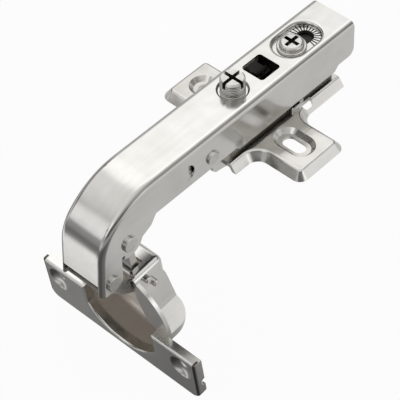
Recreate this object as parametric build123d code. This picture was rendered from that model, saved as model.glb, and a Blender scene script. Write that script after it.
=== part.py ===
from build123d import *
from math import atan2, cos, degrees, radians, sin
import os

# Soft-close corner hinge, millimetres, drawn in the open pose.
# Z = 0 is the cabinet panel, +X runs towards the door, +Z leaves the panel.
# The origin lies between the two wing slots of the mounting plate.

# Width of the arm; the pieces inside it and the cup's flats follow
armSheet = 1.2
armHalfWidth = 7.8
armInner = armHalfWidth - armSheet
channelPlay = 0.4          # side play inside the arm
carrierPlay = 0.4
cheekPlay = 0.3
spacerPlay = 0.1

# Mounting plate
plateSheet = 1.5
plateTop = 2.8             # height of the wing top over the panel
wingBack = -9.6
wingFront = 9.4
wingTip = 26.5             # half length over both wings
wingCorner = 3.0
legRear = -28.0
legFront = 18.0
legHalfWidth = 10.5
legBlend = 3.6             # inside radius between leg and wing
skirtRun = 2.0             # width of the sloping edge, seen from above
skirtRound = 1.0           # the pressed edge is softly rolled
plateSlotPitch = 32.0      # cabinet drilling, centre to centre
plateSlotWidth = 4.2
plateSlotLength = 7.6
dimpleWidth = 8.4
dimpleLength = 13.0
dimpleDepth = 1.3
dimpleWallSheet = 0.9
scribeWidth = 0.3          # marking line through each slot
scribeDepth = 0.15
scribeMargin = 2.6         # from the wing's front and rear edge
moonX = -13.9              # half-moon cut-outs beside the rear leg
moonLength = 4.4
moonInner = 7.6
moonOuter = 9.6
tabBack = -13.6            # low tab beside the channel
tabFront = -8.4
tabTop = 4.2
tabOuter = 8.5

# Raised channel of the plate, inside the arm
channelHalfWidth = armInner - channelPlay
channelRear = -27.6        # closes the slot of the arm from below
channelFront = 22.6
bridgeTop = 15.2
bridgeFront = -10.9
saddleTop = 10.2           # lower front part, carries the adjusting screw foot
saddleBack = -8.6
saddleFront = 15.5
channelChamfer = 1.8
sideWindowBack = -15.0
sideWindowFront = -7.4
sideWindowLow = 5.4
sideWindowHigh = 12.4
topWindowBack = -10.2
topWindowFront = -4.6
topWindowHalfWidth = 3.4

# Hinge arm, a folded channel
armTop = 18.0
armRear = -35.3
armFold = 1.8              # outer fold radius between top and side
noseStart = 46.0           # X where the top starts to bend down
noseRadius = 25.0
noseTurn = 45.0
tipRadius = 13.5
tipLean = 5.0              # the front wall leans this far from upright
frontWallLow = -5.7
armSideLow = 6.0           # lower edge of the side walls, front part
armSideMiddle = 4.8
armSideRear = 6.4
middleBack = -27.0
middleFront = 13.4
upperLobe = 5.0            # radius of the side wall round the upper rivet
lowerLobe = 3.7            # radius of the side wall round the lower rivet
neckBack = 60.0
armTravel = 4.5            # depth adjustment of the arm on the plate

# Openings in the arm top
recessRadius = 4.9
recessRear = -22.3
recessFront = -16.5
recessDepth = 1.4
recessWall = 1.1
recessRound = 1.0
armSlotHalfWidth = 2.6
armSlotSpare = 1.2
ribDepth = 0.35            # radial grip ribs round the rear of the slot
ribWidth = 0.45
ribCount = 15
ribSpread = 210.0
windowBack = -8.2
windowFront = -0.4
windowHalfWidth = 4.0
windowCorner = 1.0
collarRadius = 5.0
collarSink = 0.6           # sunken rim round the adjusting screw
collarLow = 14.0
dimpleX = 34.1             # pierced dimple in each side wall
dimpleZ = 10.9
dimpleHalfHeight = 2.9
dimpleReach = 2.7
dimpleSlit = 0.6           # open rear part of the dimple
dimpleSink = 0.9

# Screws
fixingX = -17.2
fixingHead = 4.3           # radius
fixingHeadLow = 16.7
fixingHeadHigh = 18.9
fixingFlange = 0.7         # thickness of the flanged rim
fixingDome = 3.6
fixingShank = 2.2
fixingLow = 8.4
adjustX = 7.2
adjustRadius = 3.6
adjustTop = 22.5
adjustLow = 11.2
adjustEdge = 0.45
adjustNeck = 1.7
adjustFoot = 2.8
adjustFootHigh = 8.3
adjustFootLow = 7.2
fixingCross = (0.6, 2.5, 1.5)      # half width, reach and depth of the cross recess
adjustCross = (0.55, 4.0, 2.2)
crossBore = 0.9
threadPitch = 0.6
threadDepth = 0.35
threadTurns = 8
threadTop = 21.6
screwGap = 0.35            # round the screws where the arm slides past
threadFit = 0.05

# Links, half widths and sheets
cheekSheet = 1.2
cheekOuter = armInner - cheekPlay
cheekInner = cheekOuter - cheekSheet
innerHalfWidth = cheekInner - 0.9
innerSheet = 2.2
innerBow = 1.0
innerLowEye = 2.2
innerSlotRadius = 2.2
innerSlotRun = (0.85, -2.05)   # the upper eye is oblong: the fold is driven evenly
innerEyeWall = 0.95
outerBow = 2.9
outerBand = 1.9            # half width of the cheek band
outerLowEye = 2.4
outerTopEye = 2.9
webInner = 3.3
webOuter = 4.4
webFrom = -78.0
webTo = -14.0
spacerRadius = 2.6
spacerInner = innerHalfWidth + 0.3
spacerOuter = armInner - spacerPlay

# Pivots, seen from the side (X, Z), open pose
upperPivot = (56.8, 2.8)
lowerPivot = (63.7, -7.1)
rivetShank = 1.5
rivetHead = 2.4
rivetProud = 0.8
rivetEdge = 0.25

# Hinge cup, drawn closed with its rim plane at Z = 0, then swung open
cupRimX = 54.44            # cup axis on the rim plane, open pose
cupRimZ = -30.42
openAngle = 96.0
cupRadius = 17.5           # rim, fits a 35 mm drilling
potRadius = 16.7           # deep drawn part under the rim
rimLow = -1.2
cupSheet = 1.0
cupDeep = 11.0             # rim plane to the outside of the floor
cupBottomRound = 5.5
flangeHigh = 3.0           # front face of the flange over the rim plane
flangeBack = 0.5
flangeFront = 17.5
flangeTip = 29.7
flangeRound = 0.8
flangeCorner = 3.2
screwPitch = 48.0          # flange screws, centre to centre
screwLine = 6.0            # flange screws from the cup axis
flangeHole = 1.8
flangeSink = 4.1           # radius of the bowl for the screw head
flangeBowl = 1.9           # depth of the bowl
flangeSeatLow = 0.2        # underside of the pressed-in screw seat
flangeNotchX = 10.6        # half-round notch in each end wall
flangeNotch = 1.4
mouthHalfWidth = 13.2
mouthWallLow = -1.2
cupSlotHalfWidth = innerHalfWidth + 0.6
cupSlotLow = -6.2
rimNotchHalfWidth = cheekOuter + 0.6     # lowered rim under the outer link
rimNotchLow = -1.1
flatPlay = 0.7             # between the outer link and the flats
flatHalfWidth = cheekOuter + flatPlay + cupSheet     # flats that hold the pin
flatBack = -9.0
foldX = -1.2               # fold between the flat and the round part
foldY = 10.5
ledgeX = 2.6
ledgeY = 17.6
boxBack = -17.4            # flat wall on the arm's side
boxFront = -4.0
boxRound = 2.0
innerPin = (-15.2, -3.6)   # pin legs in the cup's own frame
outerPin = (-11.2, -6.0)
pinRadius = 1.1
pinProud = 1.6             # right ends of the cup pin, outside the flat
pinRound = 0.5
pinBridge = 0.8            # left end, where the two legs are joined
pinBridgeSheet = 1.1
pinFit = 0.05
pivotGap = 0.08            # radial play of a link on its pin

# Closing spring on the lower rivet
springMean = 2.45
springWire = 0.5
springTurns = 5.25
springPlay = 0.53          # between the coil and the outer link's cheeks
springPitch = 2 * (cheekInner - springPlay - springWire) / springTurns
springWallLeg = 7.2
springLinkLeg = 6.4
sleeveRadius = 1.85
sleeveHalfLength = cheekInner - 0.35

# Damper in the arm
damperAxis = 11.6
damperRear = 27.0
damperFront = 43.0
damperRadius = 3.4
damperBore = 2.7
damperEndWall = 1.2
glandLength = 1.8
glandBore = 0.88
sealLength = 0.9
rodRadius = 0.8
sealBore = 0.85
pistonRadius = 2.62
pistonLength = 2.2
pistonX = 36.5
damperTravel = 4.0
pusherSpare = 1.0          # between the pressed pusher and the flat spring
pusherThick = 1.8
pusherHalfWidth = 3.6
returnMean = 1.75
returnWire = 0.3
returnTurns = 4
pusherRear = damperFront + 2 * returnWire + damperTravel + pusherSpare
carrierRear = 21.4
carrierFront = 44.2
carrierHalfWidth = armInner - carrierPlay
carrierLow = 7.4
carrierTop = 16.4
damperPinAt = (24.2, 9.9)
damperPinRadius = 1.2
damperPinHead = 2.2


def slabAlongY(face, yLow, yHigh):
    """Side view face (X, Z) made solid between two Y values."""
    return Pos(0, yHigh, 0) * extrude(Plane.XZ * face, amount=yHigh - yLow)


def bothSides(face, yLow, yHigh):
    """The same slab on the right and on the left."""
    return slabAlongY(face, yLow, yHigh) + slabAlongY(face, -yHigh, -yLow)


def rodAlongY(point, radius, yLow, yHigh):
    """Round bar along Y through a side view point."""
    return slabAlongY(Pos(*point) * Circle(radius), yLow, yHigh)


def rodAlongX(radius, xLow, xHigh, height):
    """Round bar along X at Y = 0."""
    return Pos(xLow, 0, height) * extrude(Plane.YZ * Circle(radius), amount=xHigh - xLow)


def boxBetween(xRange, yRange, zRange):
    """Box from its limits."""
    sizes = [high - low for low, high in (xRange, yRange, zRange)]
    middle = [(high + low) / 2 for low, high in (xRange, yRange, zRange)]
    return Pos(*middle) * Box(*sizes)


def polar(centre, radius, angle):
    """Point on a circle in a side view."""
    return (centre[0] + radius * cos(radians(angle)), centre[1] + radius * sin(radians(angle)))


def stadium(first, last, radius):
    """Flat oblong between two points."""
    run = Vector(*last) - Vector(*first)
    turn = Rot(0, 0, degrees(atan2(run.Y, run.X)))
    middle = (Vector(*first) + Vector(*last)) / 2
    return Pos(*middle) * turn * SlotCenterToCenter(run.length, 2 * radius)


def band(first, last, bow, halfWidth):
    """Curved strip of even width from one pivot to the other, bowed to one side."""
    start = Vector(*first)
    run = Vector(*last) - start
    side = Vector(-run.Y, run.X).normalized()
    middle = start + run / 2 + side * bow
    radius = (run.length ** 2 / 4 + bow ** 2) / (2 * abs(bow))
    centre = middle - side * radius * (1 if bow > 0 else -1)
    edges = []
    rims = []
    for reach in (radius + halfWidth, radius - halfWidth):
        ends = [centre + (p - centre).normalized() * reach for p in (start, middle, start + run)]
        edges.append(ThreePointArc(*ends))
        rims.append((ends[0], ends[2]))
    edges.append(Line(rims[0][0], rims[1][0]))
    edges.append(Line(rims[0][1], rims[1][1]))
    return make_face(edges)


def coil(mean, wire, pitch, turns):
    """Helical wire about +Z, starting at Z = 0."""
    path = Helix(pitch=pitch, height=pitch * turns, radius=mean)
    section = Plane(origin=path @ 0, z_dir=path % 0) * Circle(wire)
    return sweep(section, path=path, is_frenet=True)


def crossCut(z, halfWidth, reach, depth):
    """Cross recess of a screw head, cut down from the height z."""
    arm = boxBetween((-reach, reach), (-halfWidth, halfWidth), (z - depth, z + 1))
    centre = Pos(0, 0, z - depth) * extrude(Circle(crossBore), depth + 1)
    return arm + Rot(0, 0, 90) * arm + centre


# Mounting plate

def platePlan(inset):
    """Outline of the pressed plate seen from above, its leg running past both cut ends."""
    wings = Rectangle(wingFront - wingBack, 2 * wingTip)
    wings = fillet(wings.vertices(), wingCorner)
    wings = Pos((wingFront + wingBack) / 2, 0) * wings
    over = 2 * wingCorner
    leg = Rectangle(legFront - legRear + 2 * over, 2 * legHalfWidth)
    plan = wings + Pos((legFront + legRear) / 2, 0) * leg
    inner = [v for v in plan.vertices() if abs(abs(v.Y) - legHalfWidth) < 0.01 and
             min(abs(v.X - wingFront), abs(v.X - wingBack)) < 0.01]
    plan = fillet(inner, legBlend)
    return plan if inset == 0 else offset(plan, -inset)


def pressedPlate():
    """Plate with sloping edges along its sides, the leg ends cut off square."""
    slope = degrees(atan2(skirtRun, plateTop))
    skin = extrude(platePlan(0), plateTop, taper=slope)
    skin = fillet(skin.faces().sort_by(Axis.Z)[-1].edges(), skirtRound)
    room = extrude(platePlan(plateSheet), plateTop - plateSheet, taper=slope)
    square = boxBetween((legRear, legFront), (-wingTip - 1, wingTip + 1), (-1, plateTop + 1))
    return (skin - room) & square


def plateSlots(plate):
    """Countersunk dimples with the screw slots, and a marking line through each."""
    line = boxBetween((wingBack + scribeMargin, wingFront - scribeMargin),
                      (-scribeWidth / 2, scribeWidth / 2), (plateTop - scribeDepth, plateTop + 1))
    for side in (-1, 1):
        middle = Pos(0, side * plateSlotPitch / 2, 0)
        spot = middle * Rot(0, 0, 90)
        low = plateTop - dimpleDepth - dimpleWallSheet
        plate += spot * Pos(0, 0, low) * extrude(SlotOverall(dimpleLength, dimpleWidth), dimpleDepth)
        plate -= middle * line
        sink = extrude(SlotOverall(dimpleLength, dimpleWidth), -dimpleDepth, taper=45)
        plate -= spot * Pos(0, 0, plateTop) * sink
        plate -= spot * extrude(SlotOverall(plateSlotLength, plateSlotWidth), plateTop)
    return plate


def channelSide():
    """Side view of the raised channel."""
    c = channelChamfer
    return make_face(Polyline(
        (channelRear, 0), (channelRear, bridgeTop - c), (channelRear + c, bridgeTop),
        (bridgeFront, bridgeTop), (saddleBack, saddleTop), (saddleFront, saddleTop),
        (channelFront - 2.4, 5.8), (channelFront, 3.6), (channelFront, 2.0),
        (channelFront - 1.2, 0.8), (18.4, 0.3), (17.4, 0), close=True))


def channelInside():
    """Room under the channel's top sheet, a little wider than the sheet is thick."""
    s = plateSheet
    return make_face(Polyline(
        (channelRear - 5, -5), (channelRear - 5, bridgeTop - s), (bridgeFront - 0.7, bridgeTop - s),
        (saddleBack - 0.7, saddleTop - s), (saddleFront - 0.7, saddleTop - s),
        (channelFront - 4.0, 4.8), (channelFront + 3, -1), (channelFront + 3, -5), close=True))


def mountingPlate():
    """One pressed piece: wings, legs and the raised channel."""
    plate = plateSlots(pressedPlate())
    channel = slabAlongY(channelSide(), -channelHalfWidth, channelHalfWidth)
    inner = channelHalfWidth - plateSheet
    room = slabAlongY(channelInside(), -inner, inner)
    plate = plate + channel - room
    tabs = (tabBack, tabFront), (channelHalfWidth - 0.5, tabOuter), (1.5, tabTop)
    tab = fillet(boxBetween(*tabs).edges().filter_by(Axis.Z).group_by(Axis.Y)[-1], 1.2)
    moon = Rectangle(moonLength, moonOuter - moonInner, align=(Align.CENTER, Align.MIN))
    moon = Pos(moonX, moonInner) * moon
    moon = fillet(moon.vertices().group_by(Axis.Y)[-1], 1.6)
    hole = extrude(moon, 2 * plateTop)
    plate += tab + mirror(tab, Plane.XZ)
    plate -= hole + mirror(hole, Plane.XZ)
    opening = boxBetween((sideWindowBack, sideWindowFront), (-10, 10), (sideWindowLow, sideWindowHigh))
    plate -= opening
    top = boxBetween((topWindowBack, topWindowFront), (-topWindowHalfWidth, topWindowHalfWidth), (9, 16))
    plate -= top
    plate -= Pos(fixingX, 0, 10) * Cylinder(fixingShank + threadFit, 20)
    slotHalf = adjustNeck + screwGap
    foot = stadium((adjustX, 0), (channelFront + 5, 0), slotHalf)
    plate -= Pos(0, 0, 4) * extrude(foot, 10)
    return plate


# Hinge arm

def noseEdges(inset, low):
    """Top, nose and front wall line, moved inwards by a sheet thickness."""
    rBig = noseRadius - inset
    rTip = tipRadius - inset
    big = (noseStart, armTop - noseRadius)
    joint = polar(big, rBig, 90 - noseTurn)
    tip = polar(big, noseRadius - tipRadius, 90 - noseTurn)
    rear = (armRear, armTop - inset)
    end = polar(tip, rTip, tipLean)
    foot = (end[0] + (end[1] - low) * sin(radians(tipLean)), low)
    edges = [Line(rear, (noseStart, armTop - inset)),
             CenterArc(big, rBig, 90 - noseTurn, noseTurn),
             CenterArc(tip, rTip, tipLean, 90 - noseTurn - tipLean),
             Line(end, foot)]
    return edges, rear, foot, joint


def armBlock():
    """Side view of the bent sheet before its lower edge is cut."""
    edges, rear, foot, _ = noseEdges(0, -15)
    edges += [Line(foot, (armRear, -15)), Line((armRear, -15), rear)]
    return make_face(edges)


def armTrim():
    """Side view of everything above the shaped lower edge of the side walls."""
    lobeStart = polar(upperPivot, upperLobe, 196)
    lobeMiddle = polar(upperPivot, upperLobe, 248)
    lobeEnd = polar(upperPivot, upperLobe, 300)
    tipBack = polar(lowerPivot, lowerLobe, 190)
    tipFront = polar(lowerPivot, lowerLobe, 290)
    edges = [Line((80, 30), (80, -8.8)), Line((80, -8.8), (68.55, -8.8)),
             ThreePointArc((68.55, -8.8), (68.2, -9.8), (67.2, -10.3)),
             Line((67.2, -10.3), tipFront),
             ThreePointArc(tipFront, polar(lowerPivot, lowerLobe, 240), tipBack),
             Line(tipBack, (neckBack, -1.0)),
             ThreePointArc((neckBack, -1.0), (59.85, -0.45), lobeEnd),
             ThreePointArc(lobeEnd, lobeMiddle, lobeStart)]
    rest = [lobeStart, (48.4, 3.2), (46.4, armSideLow), (middleFront + 1.2, armSideLow),
            (middleFront, armSideMiddle), (middleBack, armSideMiddle), (middleBack - 1.6, armSideRear),
            (armRear + 2.4, armSideRear)]
    edges += [Line(first, last) for first, last in zip(rest, rest[1:])]
    edges += [ThreePointArc(rest[-1], (armRear + 0.7, 7.1), (armRear, 8.8)),
              Line((armRear, 8.8), (armRear - 5, 8.8)), Line((armRear - 5, 8.8), (armRear - 5, 30)),
              Line((armRear - 5, 30), (80, 30))]
    return make_face(edges)


def armRoom():
    """Side view of the space between the arm's walls."""
    edges, rear, foot, _ = noseEdges(armSheet, -30)
    back = armRear - 5
    edges += [Line(foot, (back, -30)), Line((back, -30), (back, armTop - armSheet)),
              Line((back, armTop - armSheet), rear)]
    return make_face(edges)


def foldedArm():
    """The bent sheet with rounded folds and shaped side walls, before any hole is pierced."""
    body = slabAlongY(armBlock(), -armHalfWidth, armHalfWidth)
    middles = [edge @ 0.5 for edge in noseEdges(0, -15)[0]]
    folds = [e for e in body.edges() if abs(abs((e @ 0.5).Y) - armHalfWidth) < 0.01 and
             any(abs((e @ 0.5).X - m.X) + abs((e @ 0.5).Z - m.Y) < 0.05 for m in middles)]
    body = fillet(folds, armFold)
    inner = armHalfWidth - armSheet
    body -= slabAlongY(armRoom(), -inner, inner)
    body &= slabAlongY(armTrim(), -10, 10)
    return body - boxBetween((neckBack + 3, 75), (-inner, inner), (-20, frontWallLow))


def screwRecess(arm):
    """Sunken oblong seat of the fixing screw, its slot and the grip ribs round the slot's rear."""
    ends = (recessRear, 0), (recessFront, 0)
    low = armTop - recessDepth
    slotRear = fixingX - armTravel - armSlotSpare
    seat = stadium(*ends, recessRadius + recessWall)
    arm += Pos(0, 0, low - recessWall) * extrude(seat, recessDepth + 0.3)
    arm -= Pos(0, 0, low) * extrude(stadium(*ends, recessRadius), 2 * recessDepth)
    rim = [e for e in arm.edges() if abs((e @ 0.5).Z - armTop) < 0.01 and
           recessRear - recessRadius - 0.1 < (e @ 0.5).X < recessFront + recessRadius + 0.1 and
           abs((e @ 0.5).Y) < recessRadius + 0.1]
    arm = fillet(rim, recessRound)
    rib = boxBetween((armSlotHalfWidth, recessRadius), (-ribWidth / 2, ribWidth / 2),
                     (low - ribDepth, low))
    edge = recessRadius - 0.3
    floor = boxBetween((recessRear - edge, recessFront), (-edge, edge), (low - 1, low))
    for index in range(ribCount):
        turn = 180 + ribSpread * (index / (ribCount - 1) - 0.5)
        arm -= Pos(slotRear, 0, 0) * Rot(0, 0, turn) * rib & floor
    slot = stadium((slotRear, 0), (fixingX, 0), armSlotHalfWidth)
    return arm - Pos(0, 0, 10) * extrude(slot, 12)


def hingeArm():
    """Folded sheet arm with its seat, window, collar and rivet holes."""
    arm = screwRecess(foldedArm())
    window = Rectangle(windowFront - windowBack, 2 * windowHalfWidth)
    window = fillet(window.vertices(), windowCorner)
    arm -= Pos((windowBack + windowFront) / 2, 0, 10) * extrude(window, 12)
    ring = Circle(collarRadius) - Circle(adjustRadius)
    arm += Pos(adjustX, 0, collarLow) * extrude(ring, armTop - collarLow)
    arm -= Pos(adjustX, 0, armTop) * Cylinder(adjustRadius + threadFit, 12)
    arm -= Pos(adjustX, 0, armTop) * extrude(Circle(collarRadius - 0.3), -collarSink, taper=45)
    holes = ((upperPivot, rivetShank), (lowerPivot, rivetShank), (damperPinAt, damperPinRadius))
    for point, radius in holes:
        arm -= rodAlongY(point, radius, -10, 10)
    return arm - sideDimples()


def sideDimples():
    """D-shaped dimples in the side walls: a ramp that sinks to a slit at the rear."""
    back = dimpleX - dimpleHalfHeight
    front = back + dimpleReach
    outline = Pos(dimpleX, dimpleZ) * Circle(dimpleHalfHeight)
    ramp = make_face(Polyline((front, armHalfWidth), (back, armHalfWidth - dimpleSink),
                              (back, armHalfWidth + 1), (front, armHalfWidth + 1), close=True))
    ramp = Pos(0, 0, dimpleZ - dimpleHalfHeight) * extrude(ramp, 2 * dimpleHalfHeight)
    disc = slabAlongY(outline, armHalfWidth - armSheet - 1, armHalfWidth + 1)
    slit = disc & boxBetween((back, back + dimpleSlit), (0, 20), (0, 20))
    cut = (disc & ramp) + slit
    return cut + mirror(cut, Plane.XZ)


# Small arm parts

def rivet(point):
    """Rivet across the arm with two low round heads."""
    body = rodAlongY(point, rivetShank, -armHalfWidth, armHalfWidth)
    face = armHalfWidth + rivetProud
    head = rodAlongY(point, rivetHead, armHalfWidth, face)
    head = fillet(head.edges().sort_by(Axis.Y)[-1], rivetEdge)
    return body + head + mirror(head, Plane.XZ)


def rivetSpacers():
    """Two plastic rings that centre the inner link on the upper rivet."""
    ring = Pos(*upperPivot) * (Circle(spacerRadius) - Circle(rivetShank + pinFit))
    return bothSides(ring, spacerInner, spacerOuter)


def springSleeve():
    """Plastic tube on the lower rivet, under the spring."""
    ring = Pos(*lowerPivot) * (Circle(sleeveRadius) - Circle(rivetShank + pinFit))
    return slabAlongY(ring, -sleeveHalfLength, sleeveHalfLength)


def closingSpring():
    """Torsion spring: the coil and two straight legs."""
    half = springPitch * springTurns / 2
    wound = coil(springMean, springWire, springPitch, springTurns)
    wound = Pos(lowerPivot[0], half, lowerPivot[1]) * Rot(90, 0, 0) * wound
    wallLeg = Pos(lowerPivot[0] + springMean, half, lowerPivot[1])
    wallLeg *= extrude(Circle(springWire), springWallLeg)
    linkLeg = Pos(lowerPivot[0] - springLinkLeg, -half, lowerPivot[1] + springMean)
    linkLeg *= extrude(Plane.YZ * Circle(springWire), springLinkLeg)
    return wound + wallLeg + linkLeg


def fixingScrew():
    """Flanged pan head screw that clamps the arm on the plate."""
    rim = Pos(0, 0, fixingHeadLow) * extrude(Circle(fixingHead), fixingFlange)
    rim = fillet(rim.edges().sort_by(Axis.Z)[-1], 0.3)
    dome = Pos(0, 0, fixingHeadLow) * extrude(Circle(fixingDome), fixingHeadHigh - fixingHeadLow)
    dome = fillet(dome.edges().sort_by(Axis.Z)[-1], 1.0)
    shank = Pos(0, 0, fixingLow) * extrude(Circle(fixingShank), fixingHeadLow - fixingLow)
    shank = chamfer(shank.edges().sort_by(Axis.Z)[0], 0.6)
    return Pos(fixingX, 0, 0) * (rim + dome + shank - crossCut(fixingHeadHigh, *fixingCross))


def threadGrooves():
    """Ring grooves that stand for the thread of the adjusting screw."""
    deep = adjustRadius - threadDepth
    out = adjustRadius + 0.2
    grooves = []
    for index in range(threadTurns):
        z = threadTop - index * threadPitch
        grooves.append(make_face(Plane.XZ * Polyline((deep, z), (out, z + 0.45 * threadPitch),
                                                     (out, z - 0.45 * threadPitch), close=True)))
    return [revolve(groove, Axis.Z) for groove in grooves]


def adjustingScrew():
    """Threaded stud with a cross slotted top and a grooved foot."""
    stud = Pos(0, 0, adjustLow) * extrude(Circle(adjustRadius), adjustTop - adjustLow)
    stud = chamfer(stud.edges().sort_by(Axis.Z)[-1], adjustEdge)
    for groove in threadGrooves():
        stud -= groove
    neck = Pos(0, 0, adjustFootLow) * extrude(Circle(adjustNeck), adjustLow - adjustFootLow)
    foot = Pos(0, 0, adjustFootLow) * extrude(Circle(adjustFoot), adjustFootHigh - adjustFootLow)
    return Pos(adjustX, 0, 0) * (stud + neck + foot - crossCut(adjustTop, *adjustCross))


# Links

def cupPoint(point):
    """Point given in the cup's own frame, moved to the open pose."""
    c = cos(radians(openAngle))
    s = sin(radians(openAngle))
    return (cupRimX + point[0] * c + point[1] * s, cupRimZ - point[0] * s + point[1] * c)


def innerLink():
    """Folded link through the cup's slot, with a round lower eye and an oblong upper one."""
    pivot = cupPoint(innerPin)
    slotEnd = (upperPivot[0] + innerSlotRun[0], upperPivot[1] + innerSlotRun[1])
    shape = band(pivot, upperPivot, innerBow, innerSheet / 2)
    shape += Pos(*pivot) * Circle(innerLowEye)
    shape += stadium(upperPivot, slotEnd, innerSlotRadius + innerEyeWall)
    shape -= Pos(*pivot) * Circle(pinRadius + pivotGap)
    shape -= stadium(upperPivot, slotEnd, innerSlotRadius)
    return slabAlongY(shape, -innerHalfWidth, innerHalfWidth)


def outerLink():
    """Two curved cheeks joined by a web under the arm's front wall."""
    pivot = cupPoint(outerPin)
    wedge = [lowerPivot, polar(lowerPivot, 9, webFrom), polar(lowerPivot, 9, (webFrom + webTo) / 2),
             polar(lowerPivot, 9, webTo)]
    sector = Pos(*lowerPivot) * Circle(webOuter) & make_face(Polyline(*wedge, close=True))
    shape = band(pivot, lowerPivot, -outerBow, outerBand)
    shape += Pos(*pivot) * Circle(outerLowEye)
    shape += Pos(*lowerPivot) * Circle(outerTopEye)
    shape += sector
    shape -= Pos(*pivot) * Circle(pinRadius + pivotGap)
    shape -= Pos(*lowerPivot) * Circle(rivetShank + pivotGap)
    web = sector - Pos(*lowerPivot) * Circle(webInner)
    return bothSides(shape, cheekInner, cheekOuter) + slabAlongY(web, -cheekInner, cheekInner)


# Hinge cup

def cupPocketPlan(inset):
    """Plan of the recess beside a pin flat, grown inwards by the sheet."""
    far = cupRadius + 7
    shape = make_face(Polyline((-far, flatHalfWidth), (flatBack, flatHalfWidth), (foldX, foldY),
                               (ledgeX, ledgeY), (ledgeX, far), (-far, far), close=True))
    return shape if inset == 0 else offset(shape, inset)


def cupPot(inset):
    """Deep drawn part: a round pot with a flat-walled box on the arm's side."""
    low = inset - cupDeep
    pot = Pos(0, 0, low) * extrude(Circle(potRadius - inset), -low)
    pot = fillet(pot.edges().sort_by(Axis.Z)[0], cupBottomRound - inset)
    pocket = Pos(0, 0, low - 1) * extrude(cupPocketPlan(inset), cupDeep + 6)
    pot -= pocket + mirror(pocket, Plane.XZ)
    half = flatHalfWidth - inset
    box = boxBetween((boxBack + inset, boxFront), (-half, half), (low, 0))
    box = fillet(box.edges().filter_by(Axis.Z).group_by(Axis.X)[0], boxRound - inset)
    low = box.edges().group_by(Axis.Z)[0].sort_by(Axis.X)[:-1]
    return pot + fillet(low, (boxRound - inset) * 0.9)


def flangePlan(inset):
    """Plan of both wings and the bar between them."""
    shape = Rectangle(flangeFront - flangeBack, 2 * flangeTip)
    shape = fillet(shape.vertices().group_by(Axis.X)[-1], flangeCorner)
    shape = Pos((flangeFront + flangeBack) / 2, 0) * shape
    return shape if inset == 0 else offset(shape, -inset)


def mouthPlan(grow):
    """Opening of the flange: straight sides and a round front."""
    ahead = Pos(flangeBack + 30, 0) * Rectangle(60, 2 * (mouthHalfWidth + grow))
    return ahead & Circle(potRadius - cupSheet + grow)


def cupFlange():
    """Shallow tray with its edges bent back to the door and round the mouth."""
    skin = extrude(flangePlan(0) - mouthPlan(0), flangeHigh)
    skin = fillet(skin.faces().sort_by(Axis.Z)[-1].edges(), flangeRound)
    skin -= extrude(flangePlan(cupSheet) - mouthPlan(cupSheet), flangeHigh - cupSheet)
    ball = (flangeSink ** 2 + flangeBowl ** 2) / (2 * flangeBowl)
    for side in (-1, 1):
        spot = Pos(screwLine, side * screwPitch / 2, flangeHigh)
        seat = Pos(0, 0, flangeSeatLow - flangeHigh) * extrude(Circle(flangeSink + 0.6), 2.4)
        skin += spot * seat
        skin -= spot * Pos(0, 0, ball - flangeBowl) * Sphere(ball)
        skin -= spot * extrude(Circle(flangeHole), -5)
    return skin - rodAlongY((flangeNotchX, 0), flangeNotch, -40, 40)


def hingeCup():
    """Cup, flange and pin flats as one pressed piece, swung to the open pose."""
    body = cupPot(0) + Pos(0, 0, rimLow) * extrude(Circle(cupRadius), -rimLow)
    body -= cupPot(cupSheet)
    collar = extrude(mouthPlan(cupSheet) - mouthPlan(0), flangeHigh - flangeRound - mouthWallLow)
    body += cupFlange() + Pos(0, 0, mouthWallLow) * collar
    slot = boxBetween((-30, -12.5), (-cupSlotHalfWidth, cupSlotHalfWidth), (cupSlotLow, 5))
    body -= slot
    body -= boxBetween((-30, -12.5), (-rimNotchHalfWidth, rimNotchHalfWidth), (rimNotchLow, 5))
    for point in (innerPin, outerPin):
        body -= rodAlongY(point, pinRadius, -12, 12)
    return Pos(cupRimX, 0, cupRimZ) * Rot(0, openAngle, 0) * body


def cupPin():
    """U-shaped pin: two legs through the flats, joined at the left, with rounded right ends."""
    left = -flatHalfWidth - pinBridge
    pin = slabAlongY(stadium(innerPin, outerPin, pinRadius), left - pinBridgeSheet + 0.5, left + 0.5)
    for point in (innerPin, outerPin):
        leg = rodAlongY(point, pinRadius, left, flatHalfWidth + pinProud)
        pin += fillet(leg.edges().sort_by(Axis.Y)[-1], pinRound)
    return Pos(cupRimX, 0, cupRimZ) * Rot(0, openAngle, 0) * pin


# Damper

def damperCylinder():
    """Closed tube of the damper."""
    tube = rodAlongX(damperRadius, damperRear, damperFront, damperAxis)
    tube = fillet(tube.edges().sort_by(Axis.X)[0], 0.8)
    return tube - rodAlongX(damperBore, damperRear + damperEndWall, damperFront + 1, damperAxis)


def damperRing(outer, bore, xLow, xHigh):
    """Ring on the damper's axis."""
    return rodAlongX(outer, xLow, xHigh, damperAxis) - rodAlongX(bore, xLow - 1, xHigh + 1, damperAxis)


def damperRod():
    """Thin rod from the piston to the pusher."""
    return rodAlongX(rodRadius, pistonX - 1.5, pusherRear + 0.6, damperAxis)


def damperPiston():
    """Disc with four flow notches."""
    disc = damperRing(pistonRadius, rodRadius, pistonX - pistonLength, pistonX)
    for index in range(4):
        notch = Pos(pistonX - pistonLength / 2, 0, damperAxis) * Rot(index * 90, 0, 0)
        disc -= notch * Pos(0, 0, pistonRadius) * Box(2 * pistonLength, 0.9, 1.0)
    return disc


def damperPusher():
    """Plastic cap that the inner link presses at the end of closing."""
    cap = boxBetween((pusherRear, pusherRear + pusherThick), (-pusherHalfWidth, pusherHalfWidth),
                     (damperAxis - 2.6, damperAxis + 2.6))
    cap = fillet(cap.edges().filter_by(Axis.X), 1.0)
    cap = fillet(cap.faces().sort_by(Axis.X)[-1].edges(), 0.5)
    return cap - rodAlongX(rodRadius, pusherRear - 1, pusherRear + 0.6, damperAxis)


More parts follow.
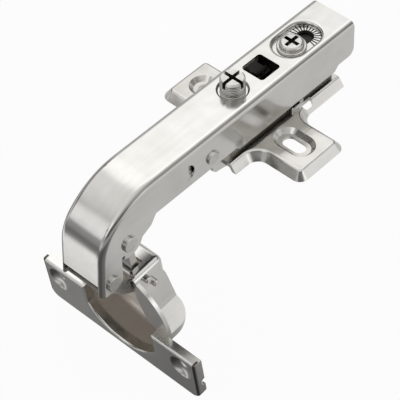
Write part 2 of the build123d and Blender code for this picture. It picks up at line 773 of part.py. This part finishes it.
def returnSpring():
    """Small spring between the gland and the pusher."""
    space = pusherRear - damperFront - 2 * returnWire - 0.3
    wound = coil(returnMean, returnWire, space / returnTurns, returnTurns)
    return Pos(damperFront + returnWire + 0.15, 0, damperAxis) * Rot(0, 90, 0) * wound


def damperCarrier():
    """Plastic cradle that hangs the damper on its cross pin."""
    block = boxBetween((carrierRear, carrierFront), (-carrierHalfWidth, carrierHalfWidth),
                       (carrierLow, carrierTop))
    block = fillet(block.edges().filter_by(Axis.X).group_by(Axis.Z)[-1], 1.2)
    block -= rodAlongX(damperRadius, damperRear, carrierFront + 1, damperAxis)
    block -= boxBetween((damperRear, carrierFront + 1), (-damperRadius + 0.4, damperRadius - 0.4),
                        (carrierLow - 1, damperAxis))
    return block - rodAlongY(damperPinAt, damperPinRadius, -10, 10)


def damperPin():
    """Cross pin with a low head on each side."""
    body = rodAlongY(damperPinAt, damperPinRadius, -armHalfWidth, armHalfWidth)
    head = rodAlongY(damperPinAt, damperPinHead, armHalfWidth, armHalfWidth + 0.7)
    head = fillet(head.edges().sort_by(Axis.Y)[-1], 0.5)
    return body + head + mirror(head, Plane.XZ)


pieces = {
    "mounting_plate": mountingPlate,
    "fixing_screw": fixingScrew,
    "hinge_arm": hingeArm,
    "adjusting_screw": adjustingScrew,
    "upper_arm_rivet": lambda: rivet(upperPivot),
    "lower_arm_rivet": lambda: rivet(lowerPivot),
    "rivet_spacers": rivetSpacers,
    "closing_spring": closingSpring,
    "spring_sleeve": springSleeve,
    "inner_link": innerLink,
    "outer_link": outerLink,
    "hinge_cup": hingeCup,
    "cup_pin": cupPin,
    "damper_carrier": damperCarrier,
    "damper_pin": damperPin,
    "damper_cylinder": damperCylinder,
    "damper_gland": lambda: damperRing(damperBore, glandBore, damperFront - glandLength, damperFront),
    "damper_seal": lambda: damperRing(damperBore, sealBore, damperFront - glandLength - sealLength,
                                      damperFront - glandLength),
    "damper_rod": damperRod,
    "damper_piston": damperPiston,
    "damper_return_spring": returnSpring,
    "damper_pusher": damperPusher,
}

os.makedirs("parts", exist_ok=True)
for name, make in pieces.items():
    export_step(make(), f"parts/{name}.step")
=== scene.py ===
import math

import bpy
from mathutils import Matrix, Vector


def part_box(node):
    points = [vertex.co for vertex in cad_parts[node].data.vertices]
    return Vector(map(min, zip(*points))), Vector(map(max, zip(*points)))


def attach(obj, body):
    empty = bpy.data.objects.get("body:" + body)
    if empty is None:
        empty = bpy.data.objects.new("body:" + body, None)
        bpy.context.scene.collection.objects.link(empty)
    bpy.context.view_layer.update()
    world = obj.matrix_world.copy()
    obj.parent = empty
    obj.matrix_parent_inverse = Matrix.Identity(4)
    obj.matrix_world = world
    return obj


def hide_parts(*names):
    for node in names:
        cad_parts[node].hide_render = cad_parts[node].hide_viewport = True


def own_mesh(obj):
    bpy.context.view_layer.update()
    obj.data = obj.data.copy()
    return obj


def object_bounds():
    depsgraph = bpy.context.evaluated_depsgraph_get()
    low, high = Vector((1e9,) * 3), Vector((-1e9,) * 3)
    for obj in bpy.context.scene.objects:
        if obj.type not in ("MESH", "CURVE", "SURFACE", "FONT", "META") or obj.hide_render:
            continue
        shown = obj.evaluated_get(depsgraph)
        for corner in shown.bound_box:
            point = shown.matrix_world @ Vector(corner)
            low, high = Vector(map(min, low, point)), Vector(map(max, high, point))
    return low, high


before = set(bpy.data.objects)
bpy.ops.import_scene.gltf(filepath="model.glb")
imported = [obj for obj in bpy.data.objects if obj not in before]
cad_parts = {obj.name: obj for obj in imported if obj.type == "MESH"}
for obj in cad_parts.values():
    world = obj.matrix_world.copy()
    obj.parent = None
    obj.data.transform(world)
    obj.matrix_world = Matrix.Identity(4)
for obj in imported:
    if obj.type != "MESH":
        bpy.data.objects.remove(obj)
cadLow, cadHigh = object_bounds()
print("frame loaded:", len(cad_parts), "nodes")


# Shader maths: a wrapped socket that can be added, multiplied and so on

class Wire:
    def __init__(self, board, socket):
        self.board = board
        self.socket = socket

    def math(self, operation, other, flip=False):
        first, second = (other, self) if flip else (self, other)
        node = self.board.add("ShaderNodeMath", {"operation": operation}, {0: first, 1: second})
        return self.board.wire(node, 0)

    def __add__(self, other):
        return self.math("ADD", other)

    def __radd__(self, other):
        return self.math("ADD", other, True)

    def __sub__(self, other):
        return self.math("SUBTRACT", other)

    def __rsub__(self, other):
        return self.math("SUBTRACT", other, True)

    def __mul__(self, other):
        return self.math("MULTIPLY", other)

    def __rmul__(self, other):
        return self.math("MULTIPLY", other, True)

    def larger(self, other):
        return self.math("MAXIMUM", other)

    def size(self):
        return self.math("ABSOLUTE", 0.0)

    def sign(self):
        return self.math("SIGN", 0.0)


class Board:
    def __init__(self, tree):
        self.tree = tree
        tree.nodes.clear()

    def add(self, kind, settings=None, sockets=None):
        node = self.tree.nodes.new(kind)
        for name, value in (settings or {}).items():
            if name == "stops":
                self.setStops(node.color_ramp, value)
            else:
                setattr(node, name, value)
        for key, value in (sockets or {}).items():
            if isinstance(value, Wire):
                self.tree.links.new(value.socket, node.inputs[key])
            else:
                node.inputs[key].default_value = value
        return node

    def setStops(self, ramp, stops):
        while len(ramp.elements) > len(stops):
            ramp.elements.remove(ramp.elements[-1])
        while len(ramp.elements) < len(stops):
            ramp.elements.new(1.0)
        for element, (place, shade) in zip(ramp.elements, stops):
            element.position = place
            element.color = (shade, shade, shade, 1.0)

    def wire(self, node, output=0):
        return Wire(self, node.outputs[output])

    def place(self):
        return self.wire(self.add("ShaderNodeTexCoord"), "Object")

    def facing(self):
        return self.wire(self.add("ShaderNodeTexCoord"), "Normal")

    def bump(self, height, strength, distance, under=None):
        sockets = {"Height": height, "Strength": strength, "Distance": distance}
        if under:
            sockets["Normal"] = under
        return self.wire(self.add("ShaderNodeBump", None, sockets))

    def shader(self, kind, sockets):
        return self.wire(self.add(kind, None, sockets))

    def mixed(self, factor, first, second):
        return self.shader("ShaderNodeMixShader", {0: factor, 1: first, 2: second})

    def show(self, shader, kind="ShaderNodeOutputMaterial"):
        self.add(kind, None, {0: shader})

    def noise(self, place, scale, detail=3.0, rough=0.5):
        node = self.add("ShaderNodeTexNoise", None,
                        {"Vector": place, "Scale": scale, "Detail": detail, "Roughness": rough})
        return self.wire(node)

    def stretched(self, place, scale):
        node = self.add("ShaderNodeMapping", None, {"Vector": place, "Scale": scale})
        return self.wire(node)

    def dot(self, place, axis):
        node = self.add("ShaderNodeVectorMath", {"operation": "DOT_PRODUCT"}, {0: place, 1: axis})
        return self.wire(node, "Value")

    def far(self, first, second):
        return (first * first + second * second).math("POWER", 0.5)

    def rise(self, value, start, end):
        node = self.add("ShaderNodeMapRange", None, {"Value": value, "From Min": start, "From Max": end})
        return self.wire(node)

    def ramp(self, value, stops):
        return self.wire(self.add("ShaderNodeValToRGB", {"stops": stops}, {"Fac": value}))

    def blend(self, factor, first, second):
        node = self.add("ShaderNodeMix", {"data_type": "RGBA"}, {0: factor, 6: first, 7: second})
        return self.wire(node, 2)


def rgba(shade):
    return (*shade, 1.0)


alongX = (1.0, 0.0, 0.0)
alongY = (0.0, 1.0, 0.0)
alongZ = (0.0, 0.0, 1.0)
paper = (1.0, 1.0, 1.0, 1.0)


# Metal finishes: a bright and a dull tone, a dark colour for painted shade, roughness, drawing grain and
# slow waves in the sheet

surface = {"cloud": 90.0, "speck": 2600.0, "wave": 130.0, "waveDeep": 0.004, "grainDeep": 0.0004,
           "worn": [(0.36, 0.0), (0.68, 1.0)], "grainShare": 0.3, "cloudRough": 0.05, "darkRough": 0.35}
nickel = {"bright": (0.74, 0.73, 0.705), "dull": (0.66, 0.65, 0.615), "dark": (0.035, 0.032, 0.028),
          "rough": 0.15, "spread": 0.05, "grain": (60.0, 700.0, 700.0), "bump": 0.012, "wave": 0.025}
plateNickel = {**nickel, "wave": 0.09}
linkSteel = {"bright": (0.66, 0.65, 0.63), "dull": (0.50, 0.49, 0.47), "dark": (0.05, 0.046, 0.04),
             "rough": 0.20, "spread": 0.10, "grain": (700.0, 60.0, 700.0), "bump": 0.05, "wave": 0.05}
screwSteel = {"bright": (0.72, 0.71, 0.68), "dull": (0.56, 0.55, 0.52), "dark": (0.045, 0.04, 0.034),
              "rough": 0.17, "spread": 0.10, "grain": (700.0, 700.0, 700.0), "bump": 0.06, "wave": 0.05}
springSteel = {"bright": (0.50, 0.49, 0.475), "dull": (0.33, 0.325, 0.31), "dark": (0.05, 0.05, 0.05),
               "rough": 0.28, "spread": 0.12, "grain": (900.0, 900.0, 900.0), "bump": 0.05, "wave": 0.0}


def metal(name, look, shade=None):
    material = bpy.data.materials.new(name)
    material.use_nodes = True
    board = Board(material.node_tree)
    place = board.place()
    cloud = board.noise(place, surface["cloud"], 3.0)
    grain = board.noise(board.stretched(place, look["grain"]), 1.0, 4.0, 0.6)
    speck = board.noise(place, surface["speck"], 2.0)
    share = surface["grainShare"]
    worn = board.ramp(cloud * (1.0 - share) + grain * share, surface["worn"])
    colour = board.blend(worn, rgba(look["bright"]), rgba(look["dull"]))
    rough = look["rough"] + grain * look["spread"] + cloud * surface["cloudRough"]
    metallic = 1.0
    # painted shade: the place masks darken the colour towards the dark colour and blend it towards a
    # painted shade tone
    if shade:
        dark, dusk, paintedShadeTone = shade(board)
        colour = board.blend(dark, colour, rgba(look["dark"]))
        rough = rough + dark * surface["darkRough"]
        if dusk:
            colour = board.blend(dusk, colour, rgba(paintedShadeTone["colour"]))
            rough = rough + dusk * paintedShadeTone["rougher"]
            metallic = 1.0 - dusk * paintedShadeTone["matt"]
    wavy = board.bump(board.noise(place, surface["wave"], 1.0), look["wave"], surface["waveDeep"])
    fine = board.bump(grain * (1.0 - share) + speck * share, look["bump"], surface["grainDeep"], wavy)
    board.show(board.shader("ShaderNodeBsdfPrincipled", {"Base Color": colour, "Metallic": metallic,
                                                         "Roughness": rough, "Normal": fine}))
    return material


# Painted shade by place, in millimetres of the hinge as it stands open

def inMillimetres(board):
    place = board.place()
    return [board.dot(place, axis) * 1000.0 for axis in (alongX, alongY, alongZ)]


def between(value, low, high, soft=0.15):
    board = value.board
    return board.rise(value, low - soft, low) * board.rise(value, high + soft, high)


def inside(value, reach, soft=0.1):
    return value.board.rise(value.size(), reach + soft, reach)


def corners(node):
    low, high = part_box(node)
    return low * 1000.0, high * 1000.0


def centreX(node):
    low, high = corners(node)
    return (low.x + high.x) / 2


armLook = {"sheet": 1.05, "underTop": 1.25, "noseBack": 10.8, "fold": 0.55, "strength": 0.94,
           "paintedShadeTone": {"colour": (0.16, 0.145, 0.125), "rougher": 0.0, "matt": 0.0},
           "seatBehind": 2.2, "seatReach": 8.6, "seatHalf": 5.0, "seatLow": 2.8, "seatRim": (0.8, 1.1),
           "ribTop": 1.5, "ribs": 0.6}


def armShade(board):
    # painted shade between the walls and in the grip ribs of the screw seat, and a thin painted dark
    # reflection along the folds
    look = armLook
    high = corners("hinge_arm")[1]
    nose = centreX("upper_arm_rivet") - look["noseBack"]
    ceiling = high.z - look["underTop"]
    x, y, z = inMillimetres(board)
    room = board.rise(x, nose + 2.0, nose) * inside(y, high.y - look["sheet"], 0.05)
    room = room * board.rise(z, ceiling + 0.05, ceiling)
    seatX = centreX("fixing_screw") - look["seatBehind"]
    reach, half = look["seatReach"], look["seatHalf"]
    seatLow = high.z - look["seatLow"]
    rimX, rimY = look["seatRim"]
    seat = inside(x - seatX, reach + rimX) * inside(y, half + rimY)
    seat = seat * board.rise(z, seatLow + 0.2, seatLow + 0.3)
    ribs = inside(x - seatX, reach, 0.15) * inside(y, half, 0.15)
    ribs = ribs * between(z, seatLow, high.z - look["ribTop"], 0.06) * look["ribs"]
    # painted dark reflection along the folds, where the normal turns between top and side
    tilt = board.dot(board.facing(), alongY).size()
    fold = board.rise(tilt, 0.30, 0.50) * board.rise(tilt, 0.92, 0.75) * look["fold"]
    dark = (room * (1.0 - seat)).larger(ribs) * look["strength"]
    return dark, fold, look["paintedShadeTone"]


plateLook = {"channelHalf": 6.4, "channelInner": 5.9, "outerWall": 0.45, "low": 3.4,
             "front": (15.0, 12.0), "strength": 0.96, "face": 0.45, "wing": 2.9,
             "paintedShadeTone": {"colour": (0.46, 0.44, 0.40), "rougher": 0.0, "matt": 0.0}}


def plateShade(board):
    # painted shade in the channel under the arm, and painted shade on the wings' flat upward faces,
    # darker than their rolled edge
    look = plateLook
    top = corners("mounting_plate")[1].z
    x, y, z = inMillimetres(board)
    dark = inside(y, look["channelInner"]).larger(inside(y, look["channelHalf"]) * look["outerWall"])
    dark = dark * between(z, look["low"], top + 0.1, 0.1) * board.rise(x, *look["front"])
    # painted shade on the flat upward faces of the wings
    flat = board.rise(board.dot(board.facing(), alongZ), 0.95, 0.995)
    face = flat * board.rise(z, look["wing"] + 0.1, look["wing"]) * look["face"]
    return dark * look["strength"], face, look["paintedShadeTone"]


# the cup's own frame, tilted 6 degrees while the door stands open
cupLook = {"rim": (54.44, -30.42), "along": (-0.1045, 0.0, -0.9945), "out": (0.9945, 0.0, -0.1045),
           "paintedShadeTone": {"colour": (0.70, 0.64, 0.575), "rougher": 0.15, "matt": 0.5}, "dusk": 0.95,
           "lineIn": 0.75, "lineWide": 0.5, "line": 0.9,
           "bowl": (6.0, 24.0), "bowlRadius": 4.1, "bowlShade": 0.75, "bowlSide": (0.6, 0.8)}


def cupShade(board):
    # painted shade inside the cup in a warm matt tone, a painted shade line at the flange's end folds,
    # and a painted dark reflection on one side of each bowl
    look = cupLook
    rimX, rimZ = look["rim"]
    x, y, z = inMillimetres(board)
    across = (x - rimX) * look["along"][0] + (z - rimZ) * look["along"][2]
    out = (x - rimX) * look["out"][0] + (z - rimZ) * look["out"][2]
    facing = board.facing()
    # painted shade over the inner wall and the floor of the pot
    radial = board.dot(facing, look["along"]) * across + board.dot(facing, alongY) * y
    floor = board.rise(board.dot(facing, look["out"]), 0.3, 0.6)
    pot = board.rise(radial, 1.0, -1.5).larger(floor) * board.rise(out, 0.2, -0.8)
    # painted shade line at the end folds of the flange
    line = corners("hinge_cup")[1].y - look["lineIn"]
    edge = between(y.size(), line, line + look["lineWide"], 0.25) * board.rise(out, 0.8, 1.2)
    bowlX, bowlY = look["bowl"]
    radius = look["bowlRadius"]
    lengthways = across - bowlX
    sideways = y - y.sign() * bowlY
    sideX, sideY = look["bowlSide"]
    # painted dark reflection on one side of each screw bowl
    bowl = board.rise(board.far(lengthways, sideways), radius + 0.2, radius - 0.3)
    shadow = bowl * board.rise(lengthways * sideX + sideways * sideY, 0.3, -2.2)
    dark = (edge * look["line"]).larger(shadow * look["bowlShade"])
    return dark, pot * look["dusk"], look["paintedShadeTone"]


crossLook = {"radius": 2.55, "deep": 1.7, "skin": 0.08, "strength": 0.90}


def crossShade(board):
    # painted shade in the cross recess of the fixing screw
    look = crossLook
    top = corners("fixing_screw")[1].z
    x, y, z = inMillimetres(board)
    away = board.far(x - centreX("fixing_screw"), y)
    recess = board.rise(away, look["radius"] + 0.1, look["radius"])
    recess = recess * between(z, top - look["deep"], top - look["skin"], 0.05)
    return recess * look["strength"], None, None


threadLook = {"radius": 3.1, "deep": 2.6, "skin": 0.12, "root": 3.36, "crest": 3.56, "start": 0.6,
              "roots": 0.8, "strength": 0.90}


def threadShade(board):
    # painted shade in the cross slots and the thread roots of the adjusting screw
    look = threadLook
    top = corners("adjusting_screw")[1].z
    x, y, z = inMillimetres(board)
    away = board.far(x - centreX("adjusting_screw"), y)
    slots = board.rise(away, look["radius"] + 0.1, look["radius"])
    slots = slots * between(z, top - look["deep"], top - look["skin"], 0.05)
    start = top - look["start"]
    roots = board.rise(away, look["crest"], look["root"]) * board.rise(z, start + 0.05, start)
    return slots.larger(roots * look["roots"]) * look["strength"], None, None


# Plastics and rubber of the hidden parts

moulded = {"cloud": 300.0, "grain": 1800.0, "bump": 0.1, "deep": 0.0003, "darker": 0.86, "spread": 0.1}


def plastic(name, shade, rough):
    material = bpy.data.materials.new(name)
    material.use_nodes = True
    board = Board(material.node_tree)
    place = board.place()
    cloud = board.noise(place, moulded["cloud"], 3.0)
    colour = board.blend(cloud, rgba(shade), rgba(tuple(moulded["darker"] * c for c in shade)))
    grain = board.bump(board.noise(place, moulded["grain"], 2.0), moulded["bump"], moulded["deep"])
    rough = rough + cloud * moulded["spread"]
    board.show(board.shader("ShaderNodeBsdfPrincipled",
                            {"Base Color": colour, "Roughness": rough, "Normal": grain}))
    return material


finishes = {
    "armNickel": metal("armNickel", nickel, armShade),
    "plateNickel": metal("plateNickel", plateNickel, plateShade),
    "cupNickel": metal("cupNickel", nickel, cupShade),
    "linkSteel": metal("drawnSteel", linkSteel),
    "screwSteel": metal("screwSteel", screwSteel),
    "fixingSteel": metal("fixingSteel", screwSteel, crossShade),
    "adjustingSteel": metal("adjustingSteel", screwSteel, threadShade),
    "springSteel": metal("springWire", springSteel),
    "white": plastic("whiteAcetal", (0.80, 0.79, 0.74), 0.42),
    "dark": plastic("blackNylon", (0.035, 0.035, 0.036), 0.45),
    "grey": plastic("greyNylon", (0.16, 0.165, 0.165), 0.40),
    "rubber": plastic("sealRubber", (0.02, 0.02, 0.02), 0.6),
}

nodeFinish = {
    "mounting_plate": "plateNickel", "hinge_arm": "armNickel", "hinge_cup": "cupNickel",
    "inner_link": "linkSteel", "outer_link": "linkSteel",
    "fixing_screw": "fixingSteel", "adjusting_screw": "adjustingSteel",
    "upper_arm_rivet": "screwSteel", "lower_arm_rivet": "screwSteel", "cup_pin": "screwSteel",
    "damper_pin": "screwSteel", "damper_rod": "screwSteel",
    "closing_spring": "springSteel", "damper_return_spring": "springSteel",
    "rivet_spacers": "white", "spring_sleeve": "white",
    "damper_piston": "white", "damper_pusher": "white",
    "damper_carrier": "dark", "damper_gland": "dark",
    "damper_cylinder": "grey", "damper_seal": "rubber",
}
for name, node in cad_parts.items():
    node.data.materials.clear()
    node.data.materials.append(finishes[nodeFinish[name]])
print("finishes on", len(nodeFinish), "nodes")


# The damper's return spring is wound again here, as a helix that fills the box of its part

returnCoil = {"turns": 4, "stepsPerTurn": 28, "sides": 12, "wire": 0.0003, "travel": 0.004}


def coilPoints(low, high, look):
    # rings of points round a helix that fills the box from low to high
    middle = (low + high) / 2
    wire = look["wire"]
    mean = (high.y - low.y) / 2 - wire
    start = low.x + wire
    length = high.x - low.x - 2 * wire
    steps = look["turns"] * look["stepsPerTurn"]
    sides = look["sides"]
    points = []
    for step in range(steps + 1):
        turn = 2 * math.pi * step / look["stepsPerTurn"]
        outward = Vector((0.0, math.cos(turn), math.sin(turn)))
        slope = Vector((length / look["turns"], -2 * math.pi * mean * math.sin(turn),
                        2 * math.pi * mean * math.cos(turn))).normalized()
        across = slope.cross(outward)
        centre = Vector((start + length * step / steps, middle.y, middle.z)) + outward * mean
        for side in range(sides):
            angle = 2 * math.pi * side / sides
            points.append(centre + (outward * math.cos(angle) + across * math.sin(angle)) * wire)
    return points


def windCoil(name, node, look):
    low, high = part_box(node)
    steps = look["turns"] * look["stepsPerTurn"]
    sides = look["sides"]
    faces = []
    for step in range(steps):
        for side in range(sides):
            here = step * sides + side
            beside = step * sides + (side + 1) % sides
            faces.append((here, beside, beside + sides, here + sides))
    faces.append(tuple(reversed(range(sides))))
    faces.append(tuple(range(steps * sides, (steps + 1) * sides)))
    mesh = bpy.data.meshes.new(name)
    mesh.from_pydata(coilPoints(low, high, look), [], faces)
    mesh.shade_smooth()
    mesh.materials.append(finishes[nodeFinish[node]])
    coil = bpy.data.objects.new(name, mesh)
    bpy.context.collection.objects.link(coil)
    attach(coil, "arm")
    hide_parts(node)
    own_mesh(coil)


windCoil("return_spring_coil", "damper_return_spring", returnCoil)
print("return spring wound")


# Camera, from the fitted viewpoint

camera = {"azimuth": 45.08, "rise": 47.30, "roll": -3.01, "away": 0.51051,
          "aim": (0.020, -0.002009, -0.017449), "lens": 162.014}


def placeCamera():
    turn, rise, roll = (math.radians(camera[k]) for k in ("azimuth", "rise", "roll"))
    back = Vector((math.cos(turn) * math.cos(rise), math.sin(turn) * math.cos(rise), math.sin(rise)))
    right = Vector((0, 0, 1)).cross(back).normalized()
    up = back.cross(right)
    tilted = right * math.cos(roll) + up * math.sin(roll)
    top = up * math.cos(roll) - right * math.sin(roll)
    data = bpy.data.cameras.new("photoCamera")
    data.lens = camera["lens"]
    data.sensor_width = 36.0
    data.clip_start, data.clip_end = 0.02, 10.0
    eye = bpy.data.objects.new("photoCamera", data)
    spot = Vector(camera["aim"]) + back * camera["away"]
    turnTo = Matrix((tilted, top, back)).transposed().to_4x4()
    eye.matrix_world = Matrix.Translation(spot) @ turnTo
    bpy.context.scene.collection.objects.link(eye)
    bpy.context.scene.camera = eye


placeCamera()
bpy.context.scene.view_settings.view_transform = "Standard"
print("camera placed")


# Light and floor

lights = {
    "key": {"at": (-0.52, -0.50, 0.78), "size": 0.80, "power": 1.22},
    "front": {"at": (0.80, 0.10, 0.55), "size": 0.40, "power": 0.35},
    "side": {"at": (-0.10, 0.90, 0.40), "size": 0.40, "power": 0.30},
}


def addLight(name, look):
    data = bpy.data.lights.new(name, "AREA")
    data.shape = "SQUARE"
    data.size = look["size"]
    data.energy = look["power"]
    lamp = bpy.data.objects.new(name, data)
    spot = Vector(look["at"])
    lamp.location = spot
    lamp.rotation_euler = (spot - Vector((0.02, 0, 0))).to_track_quat("Z", "Y").to_euler()
    bpy.context.scene.collection.objects.link(lamp)


for name, look in lights.items():
    addLight(name, look)


# what the metal mirrors: brightness by the height of the direction, and soft cards at two corners
studio = {
    "diffuse": 0.42,
    "bands": [(0.0, 0.40), (0.50, 0.55), (0.54, 0.75), (0.64, 0.60), (0.70, 0.08), (0.78, 0.10),
              (0.84, 0.70), (0.92, 0.95), (1.0, 0.80)],
    "cards": [{"azimuth": -29.0, "rise": 2.0, "spread": (0.93, 0.98), "shine": 0.30},
              {"azimuth": -33.0, "rise": 28.0, "spread": (0.965, 0.985), "shine": 1.0},
              {"azimuth": 119.0, "rise": 12.0, "spread": (0.90, 0.97), "shine": 0.95}],
}


def aimed(azimuth, rise):
    turn, lift = math.radians(azimuth), math.radians(rise)
    return (math.cos(turn) * math.cos(lift), math.sin(turn) * math.cos(lift), math.sin(lift))


def makeWorld():
    world = bpy.data.worlds.new("studio")
    bpy.context.scene.world = world
    world.use_nodes = True
    board = Board(world.node_tree)
    path = board.add("ShaderNodeLightPath")
    direction = board.wire(board.add("ShaderNodeTexCoord"), "Generated")
    height = board.dot(direction, alongZ)
    room = board.ramp(height * 0.5 + 0.5, studio["bands"])
    for card in studio["cards"]:
        near = board.rise(board.dot(direction, aimed(card["azimuth"], card["rise"])), *card["spread"])
        room = board.blend(near, room, rgba((card["shine"],) * 3))
    glossy = board.wire(path, "Is Glossy Ray")
    soft = board.shader("ShaderNodeBackground", {"Color": paper, "Strength": studio["diffuse"]})
    mirrored = board.shader("ShaderNodeBackground", {"Color": room, "Strength": 1.0})
    white = board.shader("ShaderNodeBackground", {"Color": paper, "Strength": 1.0})
    lit = board.mixed(glossy, soft, mirrored)
    seen = board.wire(path, "Is Camera Ray")
    board.show(board.mixed(seen, lit, white), "ShaderNodeOutputWorld")


makeWorld()

floorLook = {"half": 1.6, "below": 0.004, "shade": (0.86, 0.86, 0.86), "glow": 0.95,
             "from": -0.10, "to": 0.50, "turn": (0.02, -0.02), "behind": (0.26, 0.22), "dusk": 0.17,
             "mirror": [(0.0, 0.66), (0.22, 0.62), (0.26, 0.25), (0.31, 0.25), (0.345, 1.0), (0.45, 1.0),
                        (0.56, 0.22), (1.0, 0.14)]}


def makeFloor():
    height = cadLow.z - floorLook["below"]
    half = floorLook["half"]
    mesh = bpy.data.meshes.new("floor")
    corners = [(-half, -half, height), (half, -half, height), (half, half, height), (-half, half, height)]
    mesh.from_pydata(corners, [], [(0, 1, 2, 3)])
    floor = bpy.data.objects.new("floor", mesh)
    bpy.context.scene.collection.objects.link(floor)
    material = bpy.data.materials.new("paleFloor")
    material.use_nodes = True
    board = Board(material.node_tree)
    path = board.add("ShaderNodeLightPath")
    place = board.place()
    along = board.rise(board.dot(place, alongX), floorLook["from"], floorLook["to"])
    matt = board.shader("ShaderNodeBsdfDiffuse", {"Color": rgba(floorLook["shade"])})
    white = board.shader("ShaderNodeEmission", {"Color": paper, "Strength": 1.0})
    shine = board.ramp(along, floorLook["mirror"])
    front = board.rise(board.dot(place, alongY), *floorLook["turn"])
    front = front.larger(board.rise(along, *floorLook["behind"]))
    shine = board.blend(front, rgba((floorLook["dusk"],) * 3), shine)
    mirrored = board.shader("ShaderNodeEmission", {"Color": shine, "Strength": 1.0})
    share = board.wire(path, "Is Camera Ray") * floorLook["glow"]
    lit = board.mixed(share, matt, white)
    glossy = board.wire(path, "Is Glossy Ray")
    board.show(board.mixed(glossy, lit, mirrored))
    mesh.materials.append(material)


makeFloor()
print("studio ready")
